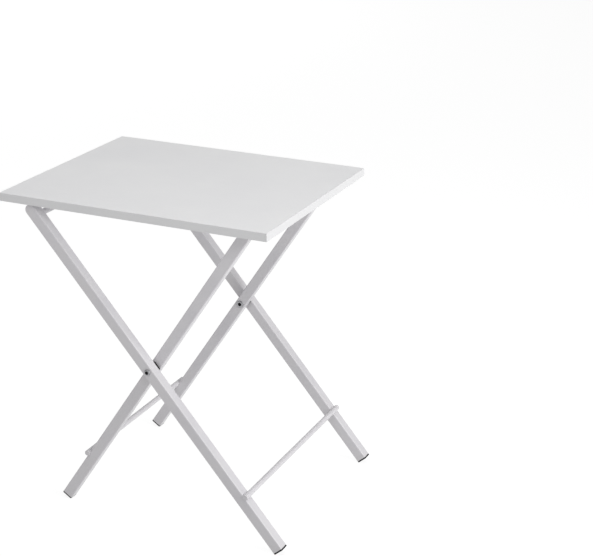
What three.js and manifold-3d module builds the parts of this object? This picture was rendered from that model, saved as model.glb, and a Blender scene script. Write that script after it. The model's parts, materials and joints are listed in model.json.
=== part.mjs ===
/**
 * Folding side table: a board on two crossed frames of square steel tube.
 *
 * The outer frame carries the board on two hinge brackets near the left end. The inner frame turns between
 * the outer legs on two pivot bolts, and its top bar sits in two hooks under the board's right end.
 * Spreading the legs drives the bar into the hooks, which then hold the table open.
 *
 * Millimetres, +Z up. X runs from the hinge end to the hook end and Y from the near side to the far side.
 */
import * as THREE from 'three';
import { mergeVertices } from 'three/addons/utils/BufferGeometryUtils.js';
import Module from 'manifold-3d';

// ---- Overall sizes ----
const TABLE_HEIGHT = 650;
const TOP_LENGTH = 566;
const TOP_WIDTH = 466;
const TOP_THICKNESS = 16;
const EDGE_BAND = 1;

// Where each frame's leg axis meets the board's underside and the floor, measured from the board's ends.
const OUTER_TOP_INSET = 52.5;
const OUTER_FLOOR_OVERHANG = 30;
const INNER_TOP_INSET = 55.7;
const INNER_FLOOR_INSET = 95.4;

// ---- Leg tubes ----
const TUBE = 22;
const TUBE_WALL = 1.4;
const TUBE_CORNER = 2;
const TUBE_INNER_CORNER = 0.8;
const LEG_EDGE_INSET = 7.5; // from the board's long edge to the outer leg's outside face
const FRAME_GAP = 5.5; // between an outer leg and the inner leg beside it
const LEG_TOP_CLEARANCE = 1.9; // from a leg's rounded top to the underside

// ---- Cross bars and brace rods ----
const BAR_RADIUS = 6;
const BRACE_RADIUS = 5.5;
const OUTER_BRACE_DROP = 303; // below the pivot, along the leg
const INNER_BRACE_DROP = 266;
const BRACE_SINK = 3.2; // how deep a rod lies in the round notches across the legs' faces
const OUTER_BRACE_OVERHANG = 1.5; // past the outside faces of the outer legs
const BRACE_CHAMFER = 0.8;

// ---- Foot plugs ----
const PLUG_FLANGE = 3;
const PLUG_STEM = 16;
const PLUG_STEM_ROOT = 1; // from the flange's face to where the stem starts inside it
const PLUG_CLEARANCE = 0.4;

// ---- Pivot hardware ----
const PIVOT_SHANK_RADIUS = 3;
const PIVOT_HEAD_RADIUS = 6.2;
const PIVOT_HEAD_HEIGHT = 3.2;
const PIVOT_HEAD_RIM = 1.4; // height of the head's straight rim
const PIVOT_HEAD_SHOULDER_RADIUS = 5.4;
const PIVOT_HEAD_SHOULDER = 2.6;
const PIVOT_HEAD_FACE_RADIUS = 4.3;
const PIVOT_SOCKET_RADIUS = 3.6;
const PIVOT_SOCKET_DEPTH = 2.2;
const SLEEVE_RADIUS = 4.8;
const SLEEVE_FLANGE_RADIUS = 8;
const SLEEVE_FLANGE = 1.8;
const SLEEVE_FLANGE_CHAMFER = 0.8;
const SLEEVE_SOCKET_RADIUS = 4;
const SLEEVE_SOCKET_DEPTH = 5;
const SPACER_SIZE = 19; // a square block, in line with the outer leg
const SPACER_CORNER = 2;

// ---- Hinge hardware ----
const HINGE_SHANK_RADIUS = 3;
const HINGE_HEX_RADIUS = 5.5;
const HINGE_HEAD_HEIGHT = 4;
const HINGE_NUT_HEIGHT = 5;
const BRACKET_STOCK = 2.5;
const BRACKET_LENGTH = 34;
const BRACKET_WIDTH = 26;
const BRACKET_CORNER = 3;
const EAR_RADIUS = 7;
const EAR_CLEARANCE = 0.6; // between an ear's round end and the outer top bar
const BRACKET_SCREW_SPREAD = 11; // each screw from the hinge axis, along X
const BRACKET_SCREW_INSET = 15.6; // from the ear's outside face to the screws, along Y

// ---- Hooks for the inner top bar ----
const HOOK_WIDTH = 22;
const HOOK_WALL = 4.2;
const HOOK_INSET = 26; // from the inner leg's inside face to the hook's middle
const HOOK_LEAD = 12; // flat lead-in ahead of the bar
const HOOK_FOOT = 17; // screw flange behind the hook's wall
const HOOK_FOOT_THICKNESS = 3;
const HOOK_SCREW_SPREAD = 6; // each screw from the hook's middle, along Y
const HOOK_SCREW_INSET = 10.2; // from the hook's wall to its screws, along X
const HOOK_MOUTH_RUN = 2; // length and rise of the flare at the lead-in's end
const HOOK_MOUTH_RISE = 1;
const HOOK_LIP_RUN = 2; // how far the lower lip runs past the bar's middle, and how far its tip turns down
const HOOK_LIP_DROP = 0.6;

// ---- Wood screws ----
const SCREW_RADIUS = 2;
const SCREW_LENGTH = 11;
const SCREW_HEAD_RADIUS = 3.8;
const SCREW_HEAD_HEIGHT = 2.2;
const SCREW_SLOT_RADIUS = 1.6;
const SCREW_SLOT_DEPTH = 1.1;

// ---- Clearances ----
const SEAT_GAP = 0.3; // between pieces that rest on or are welded to each other
const RUNNING_GAP = 0.3; // radial, between a bolt and what turns on it
const SIDE_GAP = 0.5; // beside and around what slides
const GLUE_LINE = 0.1;

const ROUND_STEPS = 24;
const ARC_STEPS = 12;
const SCREW_STEPS = 12;
const CORNER_STEPS = 3;
const HEX_SIDES = 6;
const OVERSHOOT = 5; // how far a cutting shape passes what it cuts
const HALF_TURN = Math.PI;
const QUARTER_TURN = Math.PI / 2;

// ---- Worked out from the sizes above ----
const UNDERSIDE = TABLE_HEIGHT - TOP_THICKNESS;
const HALF_TUBE = TUBE / 2;
const TOP_LEFT = -TOP_LENGTH / 2;
const TOP_RIGHT = TOP_LENGTH / 2;
const OUTER_LEG_Y = TOP_WIDTH / 2 - LEG_EDGE_INSET - HALF_TUBE;
const INNER_LEG_Y = OUTER_LEG_Y - TUBE - FRAME_GAP;
const OUTER_INSIDE_Y = OUTER_LEG_Y - HALF_TUBE;
const INNER_INSIDE_Y = INNER_LEG_Y - HALF_TUBE;
const SIDES = [
  { side: 'near', sign: -1 },
  { side: 'far', sign: 1 },
];

/**
 * A leg's line in the XZ plane, from where its axis meets the underside to where it meets the floor.
 * `lean` is the turn about +Y that stands a leg drawn along +Z on that line.
 */
function legLine(topX, floorX) {
  const run = floorX - topX;
  return { topX, floorX, run, lean: -Math.atan2(run, UNDERSIDE), tilt: Math.atan2(Math.abs(run), UNDERSIDE) };
}

const OUTER_LINE = legLine(TOP_LEFT + OUTER_TOP_INSET, TOP_RIGHT + OUTER_FLOOR_OVERHANG);
const INNER_LINE = legLine(TOP_RIGHT - INNER_TOP_INSET, TOP_LEFT + INNER_FLOOR_INSET);

/** The height at which the two leg lines cross. */
function crossingHeight() {
  const gapAtFloor = OUTER_LINE.floorX - INNER_LINE.floorX;
  const gapAtTop = INNER_LINE.topX - OUTER_LINE.topX;
  return (UNDERSIDE * gapAtFloor) / (gapAtFloor + gapAtTop);
}

const PIVOT_Z = crossingHeight();
const PIVOT_X = OUTER_LINE.floorX - (OUTER_LINE.run * PIVOT_Z) / UNDERSIDE;

/** Distances along a leg from the pivot: up to the middle of its rounded top, and down to its square foot. */
function legReach(line) {
  const topDepth = HALF_TUBE + LEG_TOP_CLEARANCE;
  return {
    up: (UNDERSIDE - topDepth - PIVOT_Z) / Math.cos(line.tilt),
    down: (PIVOT_Z - HALF_TUBE * Math.sin(line.tilt)) / Math.cos(line.tilt),
  };
}

const OUTER_REACH = legReach(OUTER_LINE);
const INNER_REACH = legReach(INNER_LINE);
const HINGE_Z = UNDERSIDE - HALF_TUBE - LEG_TOP_CLEARANCE;
const HINGE_X = PIVOT_X - OUTER_REACH.up * Math.sin(OUTER_LINE.tilt);
const INNER_BRACE_OVERHANG = FRAME_GAP - SIDE_GAP; // its ends pass the outer legs' inside faces
const BRACE_OUT = HALF_TUBE - BRACE_SINK + BRACE_RADIUS; // from a leg's axis to its brace rod's
const OUTER_BAR_DROP = EAR_RADIUS + EAR_CLEARANCE + BAR_RADIUS; // below the hinge, along the leg
const BAR_X = PIVOT_X + INNER_REACH.up * Math.sin(INNER_LINE.tilt);
const BAR_Z = HINGE_Z;

const wasm = await Module();
wasm.setup();

// ---- Finishes ----
function finish(color, roughness, metalness) {
  return new THREE.MeshStandardMaterial({ color, roughness, metalness });
}

const FINISHES = {
  board: finish(0xf1f1f2, 0.42, 0),
  band: finish(0xf4f4f5, 0.4, 0),
  paint: finish(0xeeeef1, 0.38, 0.1),
  blackPlastic: finish(0x151517, 0.6, 0),
  whitePlastic: finish(0xe9e9ea, 0.5, 0),
  steel: finish(0xb4b6b9, 0.3, 1),
};

// ---- Shapes ----

/** The solid inside a closed three.js geometry. */
function solid(geometry) {
  const bare = geometry.clone();
  bare.deleteAttribute('normal');
  bare.deleteAttribute('uv');
  const merged = mergeVertices(bare, 1e-4);
  return new wasm.Manifold(new wasm.Mesh({
    numProp: 3,
    vertProperties: new Float32Array(merged.attributes.position.array),
    triVerts: new Uint32Array(merged.index.array),
  }));
}

/** The three.js geometry of a solid. */
function geometryOf(body) {
  const { vertProperties, triVerts } = body.getMesh();
  const geometry = new THREE.BufferGeometry();
  geometry.setAttribute('position', new THREE.BufferAttribute(vertProperties, 3));
  geometry.setIndex(new THREE.BufferAttribute(triVerts, 1));
  geometry.computeVertexNormals();
  return geometry;
}

/** A rectangle with round corners, centred on the origin. */
function roundedRectangle(width, height, radius) {
  const x = width / 2;
  const y = height / 2;
  const shape = new THREE.Shape();
  shape.moveTo(x, y - radius);
  shape.absarc(x - radius, y - radius, radius, 0, QUARTER_TURN, false);
  shape.absarc(-x + radius, y - radius, radius, QUARTER_TURN, HALF_TURN, false);
  shape.absarc(-x + radius, -y + radius, radius, HALF_TURN, HALF_TURN + QUARTER_TURN, false);
  shape.absarc(x - radius, -y + radius, radius, -QUARTER_TURN, 0, false);
  return shape;
}

/** A prism along +Z between two heights. */
function prismUp(shape, from, to, steps) {
  const options = { depth: to - from, bevelEnabled: false, curveSegments: steps };
  const geometry = new THREE.ExtrudeGeometry(shape, options);
  geometry.translate(0, 0, from);
  return solid(geometry);
}

/** A prism along Y whose outline is drawn in X and Z, centred on y. */
function prismAcross(shape, width, y, steps) {
  const options = { depth: width, bevelEnabled: false, curveSegments: steps };
  const geometry = new THREE.ExtrudeGeometry(shape, options);
  geometry.rotateX(QUARTER_TURN);
  geometry.translate(0, y + width / 2, 0);
  return solid(geometry);
}

/** A cylinder along Y between two values of y. */
function rodAcross(radius, fromY, toY, x = 0, z = 0, steps = ROUND_STEPS) {
  const geometry = new THREE.CylinderGeometry(radius, radius, Math.abs(toY - fromY), steps);
  geometry.translate(x, (fromY + toY) / 2, z);
  return solid(geometry);
}

/** A cylinder along Z between two heights. */
function rodUp(radius, from, to, x, y, steps = SCREW_STEPS) {
  const geometry = new THREE.CylinderGeometry(radius, radius, to - from, steps);
  geometry.rotateX(QUARTER_TURN);
  geometry.translate(x, y, (from + to) / 2);
  return solid(geometry);
}

/** A turned piece along Y from a profile of [radius, height] points that starts and ends on the axis. */
function turned(profile, towardsFar) {
  const geometry = new THREE.LatheGeometry(profile.map(([r, h]) => new THREE.Vector2(r, h)), ROUND_STEPS);
  if (!towardsFar) geometry.rotateX(HALF_TURN);
  return solid(geometry);
}

/** A box between two corners. */
function block(low, high) {
  const size = high.map((value, i) => value - low[i]);
  const geometry = new THREE.BoxGeometry(...size);
  geometry.translate(...high.map((value, i) => (value + low[i]) / 2));
  return solid(geometry);
}

/** Adds a named piece to a group. */
function addPiece(group, name, body, material) {
  const mesh = new THREE.Mesh(geometryOf(body), material);
  mesh.name = name;
  group.add(mesh);
}

// ---- The board ----

/** Under-board screw places: two for each bracket and two for each hook. */
function screwPlaces(sign) {
  const bracketY = sign * (OUTER_INSIDE_Y - SIDE_GAP - BRACKET_SCREW_INSET);
  const bracketSeat = UNDERSIDE - SEAT_GAP - BRACKET_STOCK;
  const hookX = BAR_X + BAR_RADIUS + SIDE_GAP + HOOK_WALL + HOOK_SCREW_INSET;
  const hookY = sign * (INNER_INSIDE_Y - HOOK_INSET);
  const hookSeat = UNDERSIDE - SEAT_GAP - HOOK_FOOT_THICKNESS;
  const bracket = [-1, 1].map((step) => {
    return { x: HINGE_X + step * BRACKET_SCREW_SPREAD, y: bracketY, seat: bracketSeat };
  });
  const hook = [-1, 1].map((step) => ({ x: hookX, y: hookY + step * HOOK_SCREW_SPREAD, seat: hookSeat }));
  return { bracket, hook };
}

/** The board, with a blind pilot hole over each screw. */
function boardBody() {
  const halfLength = TOP_LENGTH / 2 - EDGE_BAND - GLUE_LINE;
  const halfWidth = TOP_WIDTH / 2 - EDGE_BAND - GLUE_LINE;
  let body = block([-halfLength, -halfWidth, UNDERSIDE], [halfLength, halfWidth, TABLE_HEIGHT]);
  for (const { sign } of SIDES) {
    const places = screwPlaces(sign);
    for (const { x, y, seat } of [...places.bracket, ...places.hook]) {
      const holeTop = seat + SCREW_LENGTH;
      body = body.subtract(rodUp(SCREW_RADIUS + RUNNING_GAP, UNDERSIDE - OVERSHOOT, holeTop, x, y));
    }
  }
  return body;
}

/** The four bands: the end bands run the full width and the side bands fit between them. */
function addEdgeBands(group) {
  const y = TOP_WIDTH / 2;
  const sideX = TOP_RIGHT - EDGE_BAND - GLUE_LINE;
  const bands = {
    edge_band_left: [[TOP_LEFT, -y, UNDERSIDE], [TOP_LEFT + EDGE_BAND, y, TABLE_HEIGHT]],
    edge_band_right: [[TOP_RIGHT - EDGE_BAND, -y, UNDERSIDE], [TOP_RIGHT, y, TABLE_HEIGHT]],
    edge_band_near: [[-sideX, -y, UNDERSIDE], [sideX, -y + EDGE_BAND, TABLE_HEIGHT]],
    edge_band_far: [[-sideX, y - EDGE_BAND, UNDERSIDE], [sideX, y, TABLE_HEIGHT]],
  };
  for (const [name, [low, high]] of Object.entries(bands)) {
    addPiece(group, name, block(low, high), FINISHES.band);
  }
}

/** A pan-head screw driven upwards, with a hexagonal drive in its head. */
function screwBody({ x, y, seat }) {
  const underHead = seat - SEAT_GAP;
  const head = rodUp(SCREW_HEAD_RADIUS, underHead - SCREW_HEAD_HEIGHT, underHead, x, y, ROUND_STEPS);
  const shank = rodUp(SCREW_RADIUS, underHead - SCREW_HEAD_HEIGHT / 2, underHead + SCREW_LENGTH, x, y);
  const driveTop = underHead - SCREW_HEAD_HEIGHT + SCREW_SLOT_DEPTH;
  const driveFrom = underHead - SCREW_HEAD_HEIGHT - OVERSHOOT;
  const drive = rodUp(SCREW_SLOT_RADIUS, driveFrom, driveTop, x, y, HEX_SIDES);
  return head.add(shank).subtract(drive);
}

/** An angle bracket: a flange screwed to the underside and an ear that turns on the hinge bolt. */
function bracketBody(sign) {
  const outside = OUTER_INSIDE_Y - SIDE_GAP;
  const top = UNDERSIDE - SEAT_GAP;
  const earHalf = BRACKET_LENGTH / 2 - BRACKET_CORNER;
  const plan = roundedRectangle(BRACKET_LENGTH, BRACKET_WIDTH, BRACKET_CORNER);
  const flange = prismUp(plan, top - BRACKET_STOCK, top, CORNER_STEPS)
    .translate(HINGE_X, sign * (outside - BRACKET_WIDTH / 2), 0);
  const ear = new THREE.Shape();
  ear.moveTo(HINGE_X - earHalf, top);
  ear.lineTo(HINGE_X - EAR_RADIUS, HINGE_Z);
  ear.absarc(HINGE_X, HINGE_Z, EAR_RADIUS, HALF_TURN, 2 * HALF_TURN, false);
  ear.lineTo(HINGE_X + earHalf, top);
  const bolt = rodAcross(HINGE_SHANK_RADIUS + RUNNING_GAP, -TOP_WIDTH, TOP_WIDTH, HINGE_X, HINGE_Z);
  let body = flange.add(prismAcross(ear, BRACKET_STOCK, sign * (outside - BRACKET_STOCK / 2), ARC_STEPS));
  for (const { x, y } of screwPlaces(sign).bracket) {
    body = body.subtract(rodUp(SCREW_RADIUS + RUNNING_GAP, top - OVERSHOOT, top + OVERSHOOT, x, y));
  }
  return body.subtract(bolt);
}

/** A hook that the inner top bar slides into from the hinge side. */
function hookBody(sign) {
  const top = UNDERSIDE - SEAT_GAP;
  const seat = BAR_RADIUS + SIDE_GAP;
  const back = seat + HOOK_WALL;
  const y = sign * (INNER_INSIDE_Y - HOOK_INSET);
  const outline = new THREE.Shape();
  outline.moveTo(BAR_X - HOOK_LEAD, top);
  outline.lineTo(BAR_X - HOOK_LEAD, BAR_Z + seat + HOOK_MOUTH_RISE);
  outline.lineTo(BAR_X - HOOK_LEAD + HOOK_MOUTH_RUN, BAR_Z + seat);
  outline.lineTo(BAR_X, BAR_Z + seat);
  outline.absarc(BAR_X, BAR_Z, seat, QUARTER_TURN, -QUARTER_TURN, true);
  outline.lineTo(BAR_X - HOOK_LIP_RUN, BAR_Z - seat - HOOK_LIP_DROP);
  outline.lineTo(BAR_X - HOOK_LIP_RUN, BAR_Z - back);
  outline.lineTo(BAR_X, BAR_Z - back);
  outline.absarc(BAR_X, BAR_Z, back, -QUARTER_TURN, 0, false);
  outline.lineTo(BAR_X + back, top - HOOK_FOOT_THICKNESS);
  outline.lineTo(BAR_X + back + HOOK_FOOT, top - HOOK_FOOT_THICKNESS);
  outline.lineTo(BAR_X + back + HOOK_FOOT, top);
  let body = prismAcross(outline, HOOK_WIDTH, y, ARC_STEPS);
  for (const place of screwPlaces(sign).hook) {
    const hole = rodUp(SCREW_RADIUS + RUNNING_GAP, top - OVERSHOOT, top + OVERSHOOT, place.x, place.y);
    body = body.subtract(hole);
  }
  return body;
}

/** The board with everything that is screwed to it. */
function buildTop() {
  const group = new THREE.Group();
  addPiece(group, 'top_panel', boardBody(), FINISHES.board);
  addEdgeBands(group);
  for (const { side, sign } of SIDES) {
    addPiece(group, `hinge_bracket_${side}`, bracketBody(sign), FINISHES.paint);
    addPiece(group, `bar_hook_${side}`, hookBody(sign), FINISHES.whitePlastic);
    const places = screwPlaces(sign);
    places.bracket.forEach((place, i) => {
      addPiece(group, `bracket_screw_${side}_${i + 1}`, screwBody(place), FINISHES.steel);
    });
    places.hook.forEach((place, i) => {
      addPiece(group, `hook_screw_${side}_${i + 1}`, screwBody(place), FINISHES.steel);
    });
  }
  return group;
}

// ---- The frames, drawn upright with the pivot at the origin ----

/** A leg's outline seen from the side: square at the foot and round at the top. */
function legOutline(halfWidth, foot, roundAt) {
  const shape = new THREE.Shape();
  shape.moveTo(halfWidth, foot);
  shape.lineTo(halfWidth, roundAt);
  shape.absarc(0, roundAt, halfWidth, 0, HALF_TURN, false);
  shape.lineTo(-halfWidth, foot);
  return shape;
}

/** A square tube, closed by a rounded top and open at the foot, before any hole is drilled. */
function legTube(reach, y) {
  const foot = -reach.down + PLUG_FLANGE + SEAT_GAP;
  const crown = reach.up + HALF_TUBE + OVERSHOOT;
  const tube = roundedRectangle(TUBE, TUBE, TUBE_CORNER);
  const tubeSide = legOutline(HALF_TUBE, foot - OVERSHOOT, reach.up);
  const skin = prismUp(tube, foot, crown, CORNER_STEPS)
    .intersect(prismAcross(tubeSide, TUBE + OVERSHOOT, 0, ARC_STEPS));
  const boreWidth = TUBE - 2 * TUBE_WALL;
  const bore = roundedRectangle(boreWidth, boreWidth, TUBE_INNER_CORNER);
  const boreSide = legOutline(boreWidth / 2, foot - 2 * OVERSHOOT, reach.up);
  const hollow = prismUp(bore, foot - OVERSHOOT, crown, CORNER_STEPS)
    .intersect(prismAcross(boreSide, TUBE, 0, ARC_STEPS));
  return skin.subtract(hollow).translate(0, y, 0);
}

/** A plug pressed into a leg's foot, with a flange that covers the tube's end. */
function plugBody(reach, y) {
  const foot = -reach.down;
  const stemWidth = TUBE - 2 * TUBE_WALL - 2 * PLUG_CLEARANCE;
  const stem = roundedRectangle(stemWidth, stemWidth, TUBE_INNER_CORNER);
  const stemTop = foot + PLUG_FLANGE + PLUG_STEM;
  return prismUp(roundedRectangle(TUBE, TUBE, TUBE_CORNER), foot, foot + PLUG_FLANGE, CORNER_STEPS)
    .add(prismUp(stem, foot + PLUG_STEM_ROOT, stemTop, CORNER_STEPS))
    .translate(0, y, 0);
}

/** A round bar welded between two legs' inside faces. */
function barBody(insideY, z) {
  return rodAcross(BAR_RADIUS, -insideY + SEAT_GAP, insideY - SEAT_GAP, 0, z);
}

/** A brace rod with chamfered ends that lies in notches across two legs' faces. */
function braceBody(halfLength, x, z) {
  const inner = BRACE_RADIUS - BRACE_CHAMFER;
  const profile = [
    new THREE.Vector2(0, -halfLength),
    new THREE.Vector2(inner, -halfLength),
    new THREE.Vector2(BRACE_RADIUS, -halfLength + BRACE_CHAMFER),
    new THREE.Vector2(BRACE_RADIUS, halfLength - BRACE_CHAMFER),
    new THREE.Vector2(inner, halfLength),
    new THREE.Vector2(0, halfLength),
  ];
  const geometry = new THREE.LatheGeometry(profile, ROUND_STEPS);
  geometry.translate(x, 0, z);
  return solid(geometry);
}

/** The round notch that a brace rod lies in, on one side of the table. */
function braceNotch(sign, x, z) {
  return rodAcross(BRACE_RADIUS + SEAT_GAP, 0, sign * TOP_WIDTH, x, z);
}

/** The pivot bolt: a button head outside the outer leg, and a shank that reaches into the sleeve nut. */
function pivotBoltBody(sign) {
  const headSeat = OUTER_LEG_Y + HALF_TUBE + SEAT_GAP;
  const shankEnd = INNER_INSIDE_Y + SLEEVE_SOCKET_DEPTH;
  const face = headSeat + PIVOT_HEAD_HEIGHT;
  const body = turned([
    [0, shankEnd],
    [PIVOT_SHANK_RADIUS, shankEnd],
    [PIVOT_SHANK_RADIUS, headSeat],
    [PIVOT_HEAD_RADIUS, headSeat],
    [PIVOT_HEAD_RADIUS, headSeat + PIVOT_HEAD_RIM],
    [PIVOT_HEAD_SHOULDER_RADIUS, headSeat + PIVOT_HEAD_SHOULDER],
    [PIVOT_HEAD_FACE_RADIUS, face],
    [0, face],
  ], sign > 0);
  const socketFloor = sign * (face - PIVOT_SOCKET_DEPTH);
  const socket = rodAcross(PIVOT_SOCKET_RADIUS, socketFloor, sign * (face + OVERSHOOT), 0, 0, HEX_SIDES);
  return body.subtract(socket);
}

/** The sleeve nut: a barrel through the inner leg, with a flange and a hexagonal socket on the inside. */
function sleeveNutBody(sign) {
  const flangeSeat = INNER_INSIDE_Y - SEAT_GAP;
  const flangeFace = flangeSeat - SLEEVE_FLANGE;
  const barrelEnd = INNER_LEG_Y + HALF_TUBE;
  const body = turned([
    [0, flangeFace],
    [SLEEVE_FLANGE_RADIUS - SLEEVE_FLANGE_CHAMFER, flangeFace],
    [SLEEVE_FLANGE_RADIUS, flangeFace + SLEEVE_FLANGE_CHAMFER],
    [SLEEVE_FLANGE_RADIUS, flangeSeat],
    [SLEEVE_RADIUS, flangeSeat],
    [SLEEVE_RADIUS, barrelEnd],
    [0, barrelEnd],
  ], sign > 0);
  const bore = rodAcross(PIVOT_SHANK_RADIUS + RUNNING_GAP, 0, sign * TOP_WIDTH);
  const socketFrom = sign * (flangeFace - OVERSHOOT);
  const socketTo = sign * (flangeFace + SLEEVE_SOCKET_DEPTH);
  const socket = rodAcross(SLEEVE_SOCKET_RADIUS, socketFrom, socketTo, 0, 0, HEX_SIDES);
  return body.subtract(bore).subtract(socket);
}

/** The square spacer block that fills the gap between an outer and an inner leg. */
function spacerBody(sign) {
  const gapMiddle = OUTER_INSIDE_Y - FRAME_GAP / 2;
  const plan = roundedRectangle(SPACER_SIZE, SPACER_SIZE, SPACER_CORNER);
  const bore = rodAcross(PIVOT_SHANK_RADIUS + RUNNING_GAP, 0, sign * TOP_WIDTH);
  return prismAcross(plan, FRAME_GAP - 2 * SEAT_GAP, sign * gapMiddle, CORNER_STEPS).subtract(bore);
}

/** The hinge bolt: a hexagon head inside the bracket's ear, and a shank into the nut in the leg. */
function hingeBoltBody(sign, z) {
  const headSeat = OUTER_INSIDE_Y - SIDE_GAP - BRACKET_STOCK - SEAT_GAP;
  const shankEnd = OUTER_INSIDE_Y + TUBE_WALL + SEAT_GAP + HINGE_NUT_HEIGHT + SEAT_GAP;
  const headEnd = sign * (headSeat - HINGE_HEAD_HEIGHT);
  const shankStart = sign * (headSeat - HINGE_HEAD_HEIGHT / 2);
  const head = rodAcross(HINGE_HEX_RADIUS, headEnd, sign * headSeat, 0, z, HEX_SIDES);
  return head.add(rodAcross(HINGE_SHANK_RADIUS, shankStart, sign * shankEnd, 0, z));
}

/** The nut welded inside the leg for the hinge bolt. */
function hingeNutBody(sign, z) {
  const from = OUTER_INSIDE_Y + TUBE_WALL + SEAT_GAP;
  const nut = rodAcross(HINGE_HEX_RADIUS, sign * from, sign * (from + HINGE_NUT_HEIGHT), 0, z, HEX_SIDES);
  return nut.subtract(rodAcross(HINGE_SHANK_RADIUS + RUNNING_GAP, 0, sign * TOP_WIDTH, 0, z));
}

/** The outer frame and the hardware that is fast in it. */
function buildOuterFrame() {
  const group = new THREE.Group();
  const hingeAt = OUTER_REACH.up;
  for (const { side, sign } of SIDES) {
    const pivotHole = rodAcross(PIVOT_SHANK_RADIUS + RUNNING_GAP, 0, sign * TOP_WIDTH);
    const hingeHole = rodAcross(HINGE_SHANK_RADIUS + RUNNING_GAP, 0, sign * OUTER_LEG_Y, 0, hingeAt);
    const notch = braceNotch(sign, BRACE_OUT, -OUTER_BRACE_DROP);
    const tube = legTube(OUTER_REACH, sign * OUTER_LEG_Y);
    const plug = plugBody(OUTER_REACH, sign * OUTER_LEG_Y);
    const leg = tube.subtract(pivotHole).subtract(hingeHole).subtract(notch);
    addPiece(group, `outer_leg_${side}`, leg, FINISHES.paint);
    addPiece(group, `outer_foot_plug_${side}`, plug, FINISHES.blackPlastic);
    addPiece(group, `pivot_bolt_${side}`, pivotBoltBody(sign), FINISHES.steel);
    addPiece(group, `pivot_spacer_${side}`, spacerBody(sign), FINISHES.blackPlastic);
    addPiece(group, `pivot_sleeve_nut_${side}`, sleeveNutBody(sign), FINISHES.steel);
    addPiece(group, `hinge_bolt_${side}`, hingeBoltBody(sign, hingeAt), FINISHES.steel);
    addPiece(group, `hinge_nut_${side}`, hingeNutBody(sign, hingeAt), FINISHES.steel);
  }
  addPiece(group, 'outer_top_bar', barBody(OUTER_INSIDE_Y, hingeAt - OUTER_BAR_DROP), FINISHES.paint);
  const braceHalf = OUTER_LEG_Y + HALF_TUBE + OUTER_BRACE_OVERHANG;
  addPiece(group, 'outer_brace_rod', braceBody(braceHalf, BRACE_OUT, -OUTER_BRACE_DROP), FINISHES.paint);
  group.rotation.y = OUTER_LINE.lean;
  group.position.set(PIVOT_X, 0, PIVOT_Z);
  return group;
}

/** The inner frame, which turns on the sleeve nuts. */
function buildInnerFrame() {
  const group = new THREE.Group();
  for (const { side, sign } of SIDES) {
    const sleeveHole = rodAcross(SLEEVE_RADIUS + RUNNING_GAP, 0, sign * TOP_WIDTH);
    const notch = braceNotch(sign, -BRACE_OUT, -INNER_BRACE_DROP);
    const leg = legTube(INNER_REACH, sign * INNER_LEG_Y).subtract(sleeveHole).subtract(notch);
    const plug = plugBody(INNER_REACH, sign * INNER_LEG_Y);
    addPiece(group, `inner_leg_${side}`, leg, FINISHES.paint);
    addPiece(group, `inner_foot_plug_${side}`, plug, FINISHES.blackPlastic);
  }
  addPiece(group, 'inner_top_bar', barBody(INNER_INSIDE_Y, INNER_REACH.up), FINISHES.paint);
  const braceHalf = INNER_LEG_Y + HALF_TUBE + INNER_BRACE_OVERHANG;
  addPiece(group, 'inner_brace_rod', braceBody(braceHalf, -BRACE_OUT, -INNER_BRACE_DROP), FINISHES.paint);
  group.rotation.y = INNER_LINE.lean;
  group.position.set(PIVOT_X, 0, PIVOT_Z);
  return group;
}

// ---- The whole table, with its origin under the middle of its box ----
const table = new THREE.Group();
table.add(buildTop(), buildOuterFrame(), buildInnerFrame());
table.updateMatrixWorld(true);
const box = new THREE.Box3().setFromObject(table, true);
table.position.x = -(box.min.x + box.max.x) / 2;

export default table;
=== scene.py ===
"""Folding side table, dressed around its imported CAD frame.

A white board turns on the outer frame's hinge and hooks over the inner frame's top bar. Every place and
overall size is read from the frame's nodes and joints, so each fine piece sits where the CAD piece is.
Lengths are in metres, +Z is up, and every piece's object stays at the origin.
"""

import json
import logging
import math
from collections.abc import Callable, Sequence
from dataclasses import dataclass, field
from enum import Enum

import bmesh
import bpy
from mathutils import Matrix, Vector

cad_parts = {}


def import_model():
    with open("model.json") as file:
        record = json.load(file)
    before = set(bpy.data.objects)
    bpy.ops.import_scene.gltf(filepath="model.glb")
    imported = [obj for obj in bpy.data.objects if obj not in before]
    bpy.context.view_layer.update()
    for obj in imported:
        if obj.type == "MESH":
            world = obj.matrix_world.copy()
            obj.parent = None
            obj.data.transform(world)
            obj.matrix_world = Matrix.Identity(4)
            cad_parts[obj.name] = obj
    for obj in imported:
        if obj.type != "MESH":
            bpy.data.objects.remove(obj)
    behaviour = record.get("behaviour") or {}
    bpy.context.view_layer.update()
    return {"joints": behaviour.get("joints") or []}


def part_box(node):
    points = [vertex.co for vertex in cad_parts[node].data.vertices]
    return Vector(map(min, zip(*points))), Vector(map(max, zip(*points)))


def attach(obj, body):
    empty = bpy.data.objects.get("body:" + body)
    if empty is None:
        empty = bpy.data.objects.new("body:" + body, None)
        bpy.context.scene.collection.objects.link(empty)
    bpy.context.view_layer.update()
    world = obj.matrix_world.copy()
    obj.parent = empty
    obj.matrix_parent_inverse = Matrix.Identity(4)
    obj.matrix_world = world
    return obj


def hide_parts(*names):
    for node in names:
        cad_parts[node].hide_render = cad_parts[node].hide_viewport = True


LOG = logging.getLogger("folding_table")
MM = 0.001
SIDES = (("near", -1.0), ("far", 1.0))
NOISE_LOW, NOISE_HIGH = 0.3, 0.7
RING_STEPS = 48
DOUBLES_GAP = 1e-6
FLAT_ANGLE = 0.6
SHARP_MARGIN = 10.0

Point = tuple[float, float, float]
Colour = tuple[float, float, float]


class Body(Enum):
    """The rigid bodies that pieces ride on."""

    OUTER = "outer_frame"
    INNER = "inner_frame"
    TOP = "top"


class Slot(Enum):
    """The record's material slots."""

    BOARD = "board_melamine"
    BAND = "edge_band"
    PAINT = "white_powder_coat"
    BLACK = "black_plastic"
    HOOK = "hook_plastic"
    STEEL = "zinc_steel"


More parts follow.
